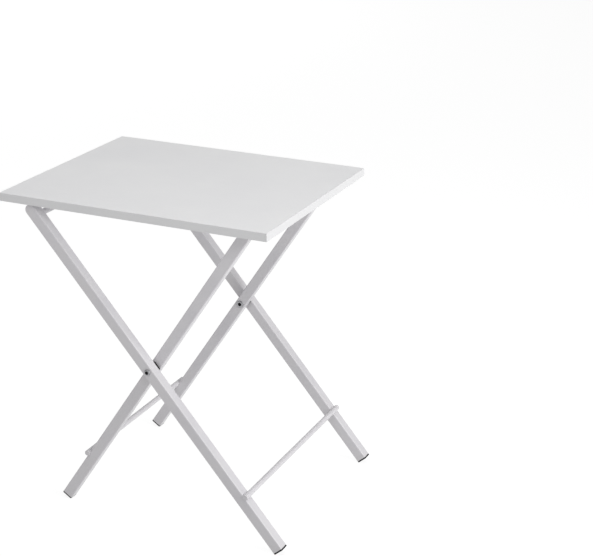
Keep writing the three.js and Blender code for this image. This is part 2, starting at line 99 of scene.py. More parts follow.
# ---------------------------------------------------------------------------------------------------------
# Materials
# ---------------------------------------------------------------------------------------------------------


class ShaderBuilder:
    """Builds one material's nodes on Object coordinates."""

    def __init__(self, name: str) -> None:
        """Starts an empty material with a Principled shader wired to its output.

        Args:
            name: The material's name.
        """
        self.material = bpy.data.materials.new(name)
        self.material.use_nodes = True
        self.nodes = self.material.node_tree.nodes
        self.links = self.material.node_tree.links
        self.nodes.clear()
        output = self.nodes.new("ShaderNodeOutputMaterial")
        self.shader = self.nodes.new("ShaderNodeBsdfPrincipled")
        self.links.new(self.shader.outputs["BSDF"], output.inputs["Surface"])
        self.coords = self.nodes.new("ShaderNodeTexCoord").outputs["Object"]

    def set(self, **values: float | Colour) -> None:
        """Sets shader sockets that are the same all over; underscores in a name stand for spaces."""
        for name, value in values.items():
            socket = self.shader.inputs[name.replace("_", " ")]
            socket.default_value = (*value, 1.0) if isinstance(value, tuple) else value

    def stretched(self, scale: Point, centre: Point = (0.0, 0.0, 0.0)) -> bpy.types.NodeSocket:
        """Object coordinates moved to a centre and stretched.

        Args:
            scale: The factor along each axis.
            centre: The point that becomes the pattern's origin.

        Returns:
            The mapped vector socket.
        """
        node = self.nodes.new("ShaderNodeMapping")
        node.vector_type = "POINT"
        node.inputs["Location"].default_value = [-c * s for c, s in zip(centre, scale, strict=True)]
        node.inputs["Scale"].default_value = scale
        self.links.new(self.coords, node.inputs["Vector"])
        return node.outputs["Vector"]

    def noise(
        self,
        scale: float,
        detail: float = 2.0,
        vector: bpy.types.NodeSocket | None = None,
        roughness: float = 0.5,
    ) -> bpy.types.NodeSocket:
        """A noise field from 0 to 1.

        Args:
            scale: Features per metre.
            detail: Octaves of finer noise.
            vector: Coordinates other than the plain Object ones.
            roughness: How strong the finer octaves are.

        Returns:
            The noise's factor socket.
        """
        node = self.nodes.new("ShaderNodeTexNoise")
        node.inputs["Scale"].default_value = scale
        node.inputs["Detail"].default_value = detail
        node.inputs["Roughness"].default_value = roughness
        self.links.new(vector or self.coords, node.inputs["Vector"])
        return node.outputs["Fac"]

    def span(
        self,
        value: bpy.types.NodeSocket,
        low: float,
        high: float,
        start: float = NOISE_LOW,
        stop: float = NOISE_HIGH,
    ) -> bpy.types.NodeSocket:
        """A field stretched from one range to another and held at its ends.

        Args:
            value: The field.
            low: What the output is where the field is at start.
            high: What the output is where the field is at stop.
            start: Field value for low.
            stop: Field value for high.

        Returns:
            The stretched field.
        """
        node = self.nodes.new("ShaderNodeMapRange")
        node.clamp = True
        ranges = {"From Min": start, "From Max": stop, "To Min": low, "To Max": high}
        for name, number in ranges.items():
            node.inputs[name].default_value = number
        self.links.new(value, node.inputs["Value"])
        return node.outputs["Result"]

    def tones(
        self, value: bpy.types.NodeSocket, stops: Sequence[tuple[float, Colour]]
    ) -> bpy.types.NodeSocket:
        """Colours picked along a ramp by a field.

        Args:
            value: The field.
            stops: Positions along the ramp with their colours.

        Returns:
            The colour socket.
        """
        ramp = self.nodes.new("ShaderNodeValToRGB")
        elements = ramp.color_ramp.elements
        for index, (position, colour) in enumerate(stops):
            element = elements[index] if index < 2 else elements.new(position)
            element.position = position
            element.color = (*colour, 1.0)
        self.links.new(value, ramp.inputs["Fac"])
        return ramp.outputs["Color"]

    def blended(
        self, factor: bpy.types.NodeSocket, first: bpy.types.NodeSocket, second: Colour
    ) -> bpy.types.NodeSocket:
        """One colour field mixed towards a fixed colour.

        Args:
            factor: 0 keeps the field and 1 gives the fixed colour.
            first: The colour field.
            second: The fixed colour.

        Returns:
            The mixed colour socket.
        """
        node = self.nodes.new("ShaderNodeMix")
        node.data_type = "RGBA"
        self.links.new(factor, node.inputs[0])
        self.links.new(first, node.inputs[6])
        node.inputs[7].default_value = (*second, 1.0)
        return node.outputs[2]

    def product(self, first: bpy.types.NodeSocket, second: bpy.types.NodeSocket) -> bpy.types.NodeSocket:
        """Two fields multiplied.

        Args:
            first: A field.
            second: The field it is multiplied by.

        Returns:
            The product's socket.
        """
        node = self.nodes.new("ShaderNodeMath")
        node.operation = "MULTIPLY"
        self.links.new(first, node.inputs[0])
        self.links.new(second, node.inputs[1])
        return node.outputs["Value"]

    def height(self) -> bpy.types.NodeSocket:
        """The Object coordinates' Z, in metres above the floor.

        Returns:
            The height's socket.
        """
        node = self.nodes.new("ShaderNodeSeparateXYZ")
        self.links.new(self.coords, node.inputs["Vector"])
        return node.outputs["Z"]

    def wire(self, name: str, value: bpy.types.NodeSocket) -> None:
        """Joins a field to one of the shader's sockets."""
        self.links.new(value, self.shader.inputs[name])

    def relief(self, layers: Sequence[tuple[bpy.types.NodeSocket, float]]) -> None:
        """Stacks bump layers, coarsest first.

        Args:
            layers: Height fields with their depths in metres.
        """
        normal = None
        for field_, depth in layers:
            node = self.nodes.new("ShaderNodeBump")
            node.inputs["Strength"].default_value = 1.0
            node.inputs["Distance"].default_value = depth
            self.links.new(field_, node.inputs["Height"])
            if normal is not None:
                self.links.new(normal, node.inputs["Normal"])
            normal = node.outputs["Normal"]
        self.links.new(normal, self.shader.inputs["Normal"])


@dataclass(frozen=True)
class Finish:
    """A surface finish: its record slot and the colours and grain of its material."""

    name: str
    slot: Slot
    light: Colour
    dark: Colour
    smooth: float
    rough: float

    def material(self) -> bpy.types.Material:
        """The finish's material, made once and shared; its name is never one of the record's slots.

        Returns:
            The material.
        """
        found = bpy.data.materials.get(self.name)
        if found is None:
            builder = ShaderBuilder(self.name)
            self.dress(builder)
            found = builder.material
        return found

    def dress(self, builder: ShaderBuilder) -> None:
        """Fills in the shader; each kind of finish has its own."""
        raise NotImplementedError

    def two_tone(self, builder: ShaderBuilder, value: bpy.types.NodeSocket) -> None:
        """Runs the base colour from the dark tone to the light one along a field."""
        stops = ((NOISE_LOW, self.dark), (NOISE_HIGH, self.light))
        builder.wire("Base Color", builder.tones(value, stops))


@dataclass(frozen=True)
class Melamine(Finish):
    """A melamine face: a fine pearl grain, cloudy tone and a few long scuffs that catch the light."""

    grain: float = 1500.0
    grain_depth: float = 0.03 * MM
    pearl: float = 250.0
    pearl_depth: float = 0.04 * MM
    cloud: float = 7.0
    cloud_span: tuple[float, float] = (0.32, 0.68)
    scuff: float = 26.0
    scuff_span: tuple[float, float] = (0.38, 0.66)
    scuff_stretch: Point = (1.0, 9.0, 3.0)

    def dress(self, builder: ShaderBuilder) -> None:
        """Wires tone, gloss and grain.

        Args:
            builder: The builder of the finish's material.
        """
        cloud = builder.noise(self.cloud, 3.0)
        stops = zip(self.cloud_span, (self.dark, self.light), strict=True)
        builder.wire("Base Color", builder.tones(cloud, tuple(stops)))
        scuffs = builder.noise(self.scuff, 5.0, builder.stretched(self.scuff_stretch), 0.62)
        builder.wire("Roughness", builder.span(scuffs, self.smooth, self.rough, *self.scuff_span))
        builder.set(Specular_IOR_Level=0.42)
        pearl, grain = builder.noise(self.pearl, 2.0), builder.noise(self.grain, 3.0)
        builder.relief(((pearl, self.pearl_depth), (grain, self.grain_depth)))


@dataclass(frozen=True)
class EdgeTape(Finish):
    """A plastic edge band: smooth, with the fine lengthwise lines its trimming leaves."""

    line: float = 700.0
    line_depth: float = 0.03 * MM
    line_stretch: Point = (0.05, 0.05, 1.0)
    cloud: float = 9.0
    grain: float = 1800.0
    grain_depth: float = 0.02 * MM

    def dress(self, builder: ShaderBuilder) -> None:
        """Wires tone, gloss and trim lines.

        Args:
            builder: The builder of the finish's material.
        """
        self.two_tone(builder, builder.noise(self.cloud, 2.0))
        lines = builder.noise(self.line, 2.0, builder.stretched(self.line_stretch))
        builder.wire("Roughness", builder.span(lines, self.smooth, self.rough))
        builder.set(Specular_IOR_Level=0.45)
        builder.relief(((lines, self.line_depth), (builder.noise(self.grain, 2.0), self.grain_depth)))


@dataclass(frozen=True)
class PowderCoat(Finish):
    """Baked powder paint: orange peel, a cool and warm drift of tone, and floor dust low on the legs."""

    peel: float = 520.0
    peel_depth: float = 0.02 * MM
    grit: float = 2600.0
    grit_depth: float = 0.004 * MM
    drift: float = 16.0
    gloss: float = 60.0
    patch: float = 140.0
    dust: Colour = (0.62, 0.6, 0.57)
    dust_height: float = 0.035
    dust_most: float = 0.22

    def dress(self, builder: ShaderBuilder) -> None:
        """Wires tone, dust, gloss and peel.

        Args:
            builder: The builder of the finish's material.
        """
        stops = ((0.3, self.dark), (0.5, self.light), (0.72, self.warm()))
        drift = builder.tones(builder.noise(self.drift, 3.0), stops)
        low = builder.span(builder.height(), self.dust_most, 0.0, 0.0, self.dust_height)
        patches = builder.span(builder.noise(self.patch, 4.0, None, 0.6), 0.3, 1.0, 0.4, 0.62)
        builder.wire("Base Color", builder.blended(builder.product(low, patches), drift, self.dust))
        builder.wire("Roughness", builder.span(builder.noise(self.gloss, 4.0), self.smooth, self.rough))
        builder.set(Coat_Weight=0.12, Coat_Roughness=0.25, Specular_IOR_Level=0.5)
        peel, grit = builder.noise(self.peel, 2.0), builder.noise(self.grit, 2.0)
        builder.relief(((peel, self.peel_depth), (grit, self.grit_depth)))

    def warm(self) -> Colour:
        """The light tone with a little less blue."""
        red, green, blue = self.light
        return (red, green * 0.995, blue * 0.985)


@dataclass(frozen=True)
class MouldedPlastic(Finish):
    """Injection-moulded plastic with a fine spark-eroded grain and faint flow marks."""

    grain: float = 1700.0
    grain_depth: float = 0.04 * MM
    flow: float = 90.0
    flow_stretch: Point = (1.0, 4.0, 1.0)
    shine: float = 0.4

    def dress(self, builder: ShaderBuilder) -> None:
        """Wires tone, gloss and grain.

        Args:
            builder: The builder of the finish's material.
        """
        flow = builder.noise(self.flow, 3.0, builder.stretched(self.flow_stretch))
        self.two_tone(builder, flow)
        builder.wire("Roughness", builder.span(flow, self.smooth, self.rough))
        builder.set(Specular_IOR_Level=self.shine)
        builder.relief(((builder.noise(self.grain, 2.0), self.grain_depth),))


@dataclass(frozen=True)
class ZincPlate(Finish):
    """Bright zinc plate over turned or pressed steel, with soft spangle and fine tool lines."""

    spangle: float = 520.0
    line: float = 2600.0
    line_depth: float = 0.01 * MM
    line_stretch: Point = (1.0, 0.15, 1.0)

    def dress(self, builder: ShaderBuilder) -> None:
        """Wires tone, gloss and tool lines.

        Args:
            builder: The builder of the finish's material.
        """
        spangle = builder.noise(self.spangle, 3.0)
        self.two_tone(builder, spangle)
        lines = builder.noise(self.line, 2.0, builder.stretched(self.line_stretch))
        builder.wire("Roughness", builder.span(lines, self.smooth, self.rough))
        builder.set(Metallic=1.0)
        builder.relief(((lines, self.line_depth),))


BOARD_FACE = Melamine("white_melamine", Slot.BOARD, (0.86, 0.86, 0.865), (0.835, 0.835, 0.845), 0.36, 0.5)
BAND_FACE = EdgeTape("white_edge_band", Slot.BAND, (0.785, 0.785, 0.79), (0.765, 0.765, 0.775), 0.36, 0.46)
PAINT = PowderCoat(
    "baked_powder_coat", Slot.PAINT, (0.72, 0.707, 0.731), (0.688, 0.674, 0.702), 0.34, 0.46
)
BLACK = MouldedPlastic(
    "black_moulding", Slot.BLACK, (0.01, 0.01, 0.011), (0.006, 0.006, 0.007), 0.55, 0.7, shine=0.16
)
HOOK_WHITE = MouldedPlastic(
    "white_moulding", Slot.HOOK, (0.82, 0.82, 0.825), (0.78, 0.78, 0.79), 0.36, 0.48
)
ZINC = ZincPlate("bright_zinc", Slot.STEEL, (0.72, 0.73, 0.75), (0.55, 0.56, 0.58), 0.22, 0.38)
# Dull zinc for the pivot bolt and nut, its tone darkened further as painted shade for the shadowed ring
# round each head.
DULL_ZINC_PAINTED_SHADE = ZincPlate("dull_zinc", Slot.STEEL, (0.46, 0.46, 0.475), (0.3, 0.3, 0.315), 0.3, 0.46)
# Near-black steel for the hinge bolts and nuts: painted shade for the shadow beneath the board at the leg
# tops.
STEEL_PAINTED_SHADE = ZincPlate("darkened_steel", Slot.STEEL, (0.1, 0.1, 0.105), (0.06, 0.06, 0.064), 0.34, 0.5)
# Near black for the sockets of the zinc bolt and nut: painted shade for their deep recesses.
SOCKET_PAINTED_SHADE = ZincPlate("oiled_socket", Slot.STEEL, (0.03, 0.03, 0.032), (0.015, 0.015, 0.016), 0.4, 0.6)


# ---------------------------------------------------------------------------------------------------------
# Mesh tools
# ---------------------------------------------------------------------------------------------------------


@dataclass(frozen=True)
class Axes:
    """A leg frame's directions: along the legs, square out of their upper or lower face, and across."""

    origin: Vector
    up: Vector
    out: Vector

    @classmethod
    def through(cls, origin: Vector, top: Vector) -> "Axes":
        """The axes of a leg line in the XZ plane.

        Args:
            origin: The pivot.
            top: A point further up the line.

        Returns:
            The axes, with `out` pointing to +X.
        """
        up = (top - origin).normalized()
        return cls(origin, up, Vector((up.z, 0.0, -up.x)))

    def at(self, out: float, across: float, along: float) -> Vector:
        """The point at these distances from the pivot along each direction."""
        return self.origin + self.out * out + self.up * along + Vector((0.0, across, 0.0))


def rounded_rectangle(width: float, depth: float, radius: float, steps: int) -> list[tuple[float, float]]:
    """The outline of a rectangle with round corners, anticlockwise.

    Args:
        width: Size along the first axis.
        depth: Size along the second axis.
        radius: Corner radius, cut down where the rectangle is too thin for it.
        steps: Segments in each corner.

    Returns:
        The outline's points.
    """
    radius = min(radius, width / 2, depth / 2)
    points = []
    for corner, (sign_x, sign_y) in enumerate(((1, 1), (-1, 1), (-1, -1), (1, -1))):
        centre = (sign_x * (width / 2 - radius), sign_y * (depth / 2 - radius))
        for step in range(steps + 1):
            angle = (corner + step / steps) * math.pi / 2
            points.append((centre[0] + radius * math.cos(angle), centre[1] + radius * math.sin(angle)))
    return points


def ring_across(centre: Vector, radius: float, steps: int, turn: float = 0.0) -> list[Vector]:
    """A circle of points about an axis along Y.

    Args:
        centre: The circle's centre.
        radius: Its radius.
        steps: The number of points.
        turn: The first point's angle.

    Returns:
        The points.
    """
    angles = [turn + 2 * math.pi * i / steps for i in range(steps)]
    return [centre + Vector((radius * math.cos(a), 0.0, radius * math.sin(a))) for a in angles]


def loft(name: str, rings: Sequence[Sequence[Vector]]) -> bpy.types.Object:
    """A closed skin through rings of equal count, with both ends capped and its faces pointing out.

    Args:
        name: The object's name.
        rings: The rings, in order.

    Returns:
        The new object.
    """
    mesh = bmesh.new()
    loops = [[mesh.verts.new(point) for point in ring] for ring in rings]
    for lower, upper in zip(loops, loops[1:], strict=False):
        for i, vertex in enumerate(lower):
            j = (i + 1) % len(lower)
            mesh.faces.new((vertex, lower[j], upper[j], upper[i]))
    mesh.faces.new(reversed(loops[0]))
    mesh.faces.new(loops[-1])
    bmesh.ops.recalc_face_normals(mesh, faces=mesh.faces)
    return object_from(name, mesh)


def turned(name: str, centre: Vector, profile: Sequence[tuple[float, float]], steps: int = RING_STEPS,
           turn: float = 0.0) -> bpy.types.Object:
    """A piece turned about an axis along Y.

    Args:
        name: The object's name.
        centre: A point on the axis.
        profile: Pairs of radius and distance along Y from the centre.
        steps: Points around each ring; 6 gives a hexagon.
        turn: The first point's angle.

    Returns:
        The new object.
    """
    return loft(name, [ring_across(centre + Vector((0.0, y, 0.0)), r, steps, turn) for r, y in profile])


def object_from(name: str, mesh: bmesh.types.BMesh) -> bpy.types.Object:
    """A scene object holding a bmesh, which is then freed.

    Args:
        name: The object's name.
        mesh: The bmesh.

    Returns:
        The new object.
    """
    data = bpy.data.meshes.new(name)
    mesh.to_mesh(data)
    mesh.free()
    made = bpy.data.objects.new(name, data)
    bpy.context.scene.collection.objects.link(made)
    return made


def settled(made: bpy.types.Object) -> bpy.types.Object:
    """The object with its modifiers worked into a plain mesh.

    Args:
        made: The object.

    Returns:
        The same object.
    """
    graph = bpy.context.evaluated_depsgraph_get()
    graph.update()
    worked = made.evaluated_get(graph)
    data = bpy.data.meshes.new_from_object(worked, preserve_all_data_layers=True, depsgraph=graph)
    old = made.data
    made.modifiers.clear()
    made.data = data
    data.name = made.name
    if old.users == 0:
        bpy.data.meshes.remove(old)
    return made


def discard(*gone: bpy.types.Object) -> None:
    """Removes helper objects and their meshes.

    Args:
        gone: The objects to remove.
    """
    for item in gone:
        data = item.data
        bpy.data.objects.remove(item)
        if data is not None and data.users == 0:
            bpy.data.meshes.remove(data)


def carved(made: bpy.types.Object, *tools: bpy.types.Object) -> bpy.types.Object:
    """Cuts tools out of an object one after another and removes them.

    Args:
        made: The object to cut.
        tools: The objects whose volume is taken away.

    Returns:
        The same object.
    """
    for tool in tools:
        modifier = made.modifiers.new("cut", "BOOLEAN")
        modifier.operation = "DIFFERENCE"
        modifier.solver = "EXACT"
        modifier.object = tool
        settled(made)
    discard(*tools)
    return made


def softened(
    made: bpy.types.Object, width: float, segments: int = 2, angle: float = 35.0
) -> bpy.types.Object:
    """Rounds the sharp edges, shades the rest smooth and keeps flat faces flat.

    Args:
        made: The object.
        width: Bevel width; 0 leaves the edges as they are.
        segments: Steps in the bevel.
        angle: Edges sharper than this, in degrees, are rounded.

    Returns:
        The same object.
    """
    if width > 0:
        bevel = made.modifiers.new("arris", "BEVEL")
        bevel.width = width
        bevel.segments = segments
        bevel.limit_method = "ANGLE"
        bevel.angle_limit = math.radians(angle)
        bevel.use_clamp_overlap = True
        bevel.miter_outer = "MITER_ARC"
        settled(made)
    made.data.shade_smooth()
    made.data.set_sharp_from_angle(angle=math.radians(angle + SHARP_MARGIN))
    weighted = made.modifiers.new("flats", "WEIGHTED_NORMAL")
    weighted.keep_sharp = True
    return settled(made)


def refined_copy(node: str, name: str) -> bpy.types.Object:
    """A CAD node's shape as a clean mesh: loose triangles merged and flat ones joined.

    Args:
        node: The CAD node.
        name: The new object's name.

    Returns:
        The new object.
    """
    mesh = bmesh.new()
    mesh.from_mesh(bpy.data.objects[node].data)
    bmesh.ops.remove_doubles(mesh, verts=mesh.verts, dist=DOUBLES_GAP)
    flat = math.radians(FLAT_ANGLE)
    bmesh.ops.dissolve_limit(mesh, angle_limit=flat, verts=mesh.verts, edges=mesh.edges)
    return object_from(name, mesh)


def dressed(made: bpy.types.Object, body: Body, finish: Finish, *nodes: str) -> bpy.types.Object:
    """Gives a finished piece its material, its body and the CAD nodes it stands for.

    Args:
        made: The piece.
        body: The body it rides on.
        finish: Its finish.
        nodes: CAD nodes that it replaces.

    Returns:
        The same piece.
    """
    made.data.materials.clear()
    made.data.materials.append(finish.material())
    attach(made, body.value)
    if nodes:
        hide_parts(*nodes)
    LOG.info("%s: %d faces on %s", made.name, len(made.data.polygons), body.value)
    return made


def middle(node: str) -> Vector:
    """The centre of a CAD node's box."""
    low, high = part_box(node)
    return (low + high) / 2


# ---------------------------------------------------------------------------------------------------------
# Geometry Nodes
# ---------------------------------------------------------------------------------------------------------


class NodeGroup:
    """A Geometry Nodes tree with named inputs, built for one job and removed after it."""

    def __init__(self, name: str, inputs: dict[str, tuple[str, object]]) -> None:
        """Starts the tree.

        Args:
            name: The tree's name.
            inputs: Input names with their socket types and values.
        """
        self.tree = bpy.data.node_groups.new(name, "GeometryNodeTree")
        face = self.tree.interface
        face.new_socket("Geometry", in_out="INPUT", socket_type="NodeSocketGeometry")
        face.new_socket("Geometry", in_out="OUTPUT", socket_type="NodeSocketGeometry")
        self.values = {}
        for label, (kind, value) in inputs.items():
            self.values[face.new_socket(label, in_out="INPUT", socket_type=kind).identifier] = value
        self.entry = self.tree.nodes.new("NodeGroupInput")
        self.exit = self.tree.nodes.new("NodeGroupOutput")

    def node(self, kind: str, settings: dict[str, object] | None = None,
             **sockets: object) -> bpy.types.Node:
        """Adds a node.

        Args:
            kind: The node's type.
            settings: Properties to set on it.
            sockets: Input values or sockets to link; underscores in a name stand for spaces.

        Returns:
            The node.
        """
        made = self.tree.nodes.new(kind)
        for key, value in (settings or {}).items():
            setattr(made, key, value)
        for key, value in sockets.items():
            self.join(value, made.inputs[key.replace("_", " ")])
        return made

    def join(self, value: object, socket: bpy.types.NodeSocket) -> None:
        """Links a socket to another, or sets its value.

        Args:
            value: The socket to link, or the value.
            socket: The input that takes it.
        """
        if isinstance(value, bpy.types.NodeSocket):
            self.tree.links.new(value, socket)
        else:
            socket.default_value = value

    def given(self, name: str) -> bpy.types.NodeSocket:
        """One of the tree's own inputs."""
        return self.entry.outputs[name]

    def close(self, geometry: bpy.types.NodeSocket) -> None:
        """Ends the tree in Realize Instances and Set Material.

        Args:
            geometry: The last shape's socket.
        """
        real = self.node("GeometryNodeRealizeInstances", Geometry=geometry)
        material = self.given("Material")
        paint = self.node("GeometryNodeSetMaterial", Geometry=real.outputs[0], Material=material)
        self.join(paint.outputs[0], self.exit.inputs[0])

    def run_on(self, made: bpy.types.Object) -> bpy.types.Object:
        """Runs the tree on an object, makes the result a plain mesh and removes the tree.

        Args:
            made: The object.

        Returns:
            The same object.
        """
        modifier = made.modifiers.new(self.tree.name, "NODES")
        modifier.node_group = self.tree
        for identifier, value in self.values.items():
            modifier[identifier] = value
        settled(made)
        bpy.data.node_groups.remove(self.tree)
        return made


@dataclass(frozen=True)
class WeldBead:
    """A rippled bead of weld along paths, painted over with the frame."""

    radius: float = 1.5 * MM
    pitch: float = 2.1 * MM
    ripple: float = 0.16
    sides: int = 10
    steps_per_ripple: int = 6

    def along(
        self, name: str, paths: Sequence[tuple[Sequence[Vector], bool]], finish: Finish
    ) -> bpy.types.Object:
        """The beads along several paths as one mesh.

        Args:
            name: The piece's name.
            paths: Point lists, each with whether it closes on itself.
            finish: The finish that covers the weld.

        Returns:
            The new object.
        """
        mesh = bmesh.new()
        for points, closed in paths:
            verts = [mesh.verts.new(p) for p in points]
            for first, second in zip(verts, verts[1:], strict=False):
                mesh.edges.new((first, second))
            if closed:
                mesh.edges.new((verts[-1], verts[0]))
        made = object_from(name, mesh)
        self.tree(finish).run_on(made)
        made.data.shade_smooth()
        return made

    def tree(self, finish: Finish) -> NodeGroup:
        """The sweep: edges become curves whose radius ripples with the length along them.

        Args:
            finish: The finish that covers the weld.

        Returns:
            The tree, ready to run on a mesh of edges.
        """
        group = NodeGroup("weld_bead", {
            "Bead Radius": ("NodeSocketFloat", self.radius),
            "Pitch": ("NodeSocketFloat", self.pitch),
            "Ripple": ("NodeSocketFloat", self.ripple),
            "Step": ("NodeSocketFloat", self.pitch / self.steps_per_ripple),
            "Material": ("NodeSocketMaterial", finish.material()),
        })
        curve = group.node("GeometryNodeMeshToCurve", Mesh=group.given("Geometry"))
        step = group.given("Step")
        fine = group.node(
            "GeometryNodeResampleCurve", {"mode": "LENGTH"}, Curve=curve.outputs[0], Length=step
        )
        along = group.node("GeometryNodeSplineParameter").outputs["Length"]
        turns = self.math(group, "DIVIDE", along, group.given("Pitch"))
        wave = self.math(group, "SINE", self.math(group, "MULTIPLY", turns, 2 * math.pi))
        swell = self.math(group, "MULTIPLY_ADD", wave, group.given("Ripple"), 1.0)
        shaped = group.node("GeometryNodeSetCurveRadius", Curve=fine.outputs[0], Radius=swell)
        circle = group.node(
            "GeometryNodeCurvePrimitiveCircle", Resolution=self.sides, Radius=group.given("Bead Radius")
        )
        swept = group.node(
            "GeometryNodeCurveToMesh",
            Curve=shaped.outputs[0],
            Profile_Curve=circle.outputs["Curve"],
            Fill_Caps=True,
            Scale=group.node("GeometryNodeInputRadius").outputs[0],
        )
        group.close(swept.outputs[0])
        return group

    @staticmethod
    def math(group: NodeGroup, operation: str, *values: object) -> bpy.types.NodeSocket:
        """A math node's result.

        Args:
            group: The tree it is part of.
            operation: What the node does.
            values: Its inputs, as sockets or numbers.

        Returns:
            Its result.
        """
        node = group.node("ShaderNodeMath", {"operation": operation})
        for value, socket in zip(values, node.inputs, strict=False):
            group.join(value, socket)
        return node.outputs[0]


@dataclass(frozen=True)
class ScrewSet:
    """Pan-head wood screws with a cross recess, one at each given place, driven upwards."""

    head_radius: float = 3.75 * MM
    head_height: float = 2.1 * MM
    shank_radius: float = 1.9 * MM
    shank_length: float = 10.5 * MM
    recess_width: float = 0.95 * MM
    recess_span: float = 4.2 * MM
    recess_depth: float = 1.2 * MM
    thread_pitch: float = 1.5 * MM
    thread_start: float = 0.12
    thread_share: float = 0.8
    thread_root: float = 0.78
    thread_rise: float = 0.4
    tip_radius: float = 0.3 * MM
    sides: int = 24
    seed: int = 7

    def template(self) -> bpy.types.Object:
        """One screw, its head's seat at the origin and its shank along +Z.

        Returns:
            The new object, which is copied to each seat.
        """
        height, radius = self.head_height, self.head_radius
        dome_angles = [math.radians(d) for d in (78, 64, 50, 36, 22, 8, 0)]
        dome = [(radius * math.cos(a), -height * math.sin(a)) for a in dome_angles]
        profile = [*dome, (self.shank_radius, 0.0)]
        turns = int(self.shank_length * self.thread_share / self.thread_pitch)
        root, crest = self.shank_radius * self.thread_root, self.shank_radius
        for turn in range(turns):
            z = self.shank_length * self.thread_start + turn * self.thread_pitch
            profile += [(root, z), (crest, z + self.thread_pitch * self.thread_rise)]
        profile.append((self.tip_radius, self.shank_length))
        angles = [2 * math.pi * i / self.sides for i in range(self.sides)]
        rings = [[Vector((r * math.cos(a), r * math.sin(a), z)) for a in angles] for r, z in profile]
        made = loft("screw_template", rings)
        bars = [self.recess_bar(turn) for turn in (0.0, math.pi / 2)]
        return softened(carved(made, *bars), 0.0)

    def recess_bar(self, turn: float) -> bpy.types.Object:
        """One bar of the cross recess.

        Args:
            turn: Its angle about the screw.

        Returns:
            The new object, a tool for cutting.
        """
        mesh = bmesh.new()
        size = Matrix.Diagonal((self.recess_span, self.recess_width, 2 * self.recess_depth, 1.0))
        place = Matrix.Rotation(turn, 4, "Z") @ Matrix.Translation((0.0, 0.0, -self.head_height))
        bmesh.ops.create_cube(mesh, size=1.0, matrix=place @ size)
        return object_from("recess_bar", mesh)

    def at(self, name: str, seats: Sequence[Vector], finish: Finish) -> bpy.types.Object:
        """The screws at their seats, as one mesh.

        Args:
            name: The piece's name.
            seats: Where the underside of each head sits.
            finish: The screws' finish.

        Returns:
            The new object.
        """
        template = self.template()
        mesh = bmesh.new()
        for seat in seats:
            mesh.verts.new(seat)
        made = object_from(name, mesh)
        group = NodeGroup("screw_set", {
            "Screw": ("NodeSocketObject", template),
            "Seed": ("NodeSocketInt", self.seed),
            "Material": ("NodeSocketMaterial", finish.material()),
        })
        screw = group.node("GeometryNodeObjectInfo", As_Instance=True, Object=group.given("Screw"))
        points = group.node("GeometryNodeMeshToPoints", Mesh=group.given("Geometry"))
        seed = group.given("Seed")
        turn = group.node("FunctionNodeRandomValue", {"data_type": "FLOAT_VECTOR"}, Seed=seed)
        turn.inputs[0].default_value = (0.0, 0.0, 0.0)
        turn.inputs[1].default_value = (0.0, 0.0, math.pi)
        placed = group.node("GeometryNodeInstanceOnPoints", Points=points.outputs[0],
                            Instance=screw.outputs["Geometry"], Rotation=turn.outputs[0])
        group.close(placed.outputs[0])
        group.run_on(made)
        discard(template)
        return made


# ---------------------------------------------------------------------------------------------------------
# Sub-assemblies
# ---------------------------------------------------------------------------------------------------------


@dataclass
class Board:
    """The table top: a melamine board with four edge bands."""

    face_arris: float = 0.12 * MM
    band_arris: float = 0.45 * MM
    bands: tuple[str, ...] = ("edge_band_left", "edge_band_right", "edge_band_near", "edge_band_far")

    def build(self) -> None:
        """Builds the board and its bands."""
        board = softened(self.slab("board", "top_panel"), self.face_arris, 2)
        dressed(board, Body.TOP, BOARD_FACE, "top_panel")
        for node in self.bands:
            band = softened(self.slab(f"{node}_tape", node), self.band_arris, 3)
            dressed(band, Body.TOP, BAND_FACE, node)

    def slab(self, name: str, node: str) -> bpy.types.Object:
        """A box-shaped blank that fills a CAD node's box.

        Args:
            name: The object's name.
            node: The CAD node.

        Returns:
            The new object.
        """
        low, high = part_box(node)
        corners = ((high.x, high.y), (low.x, high.y), (low.x, low.y), (high.x, low.y))
        return loft(name, [[Vector((x, y, z)) for x, y in corners] for z in (low.z, high.z)])


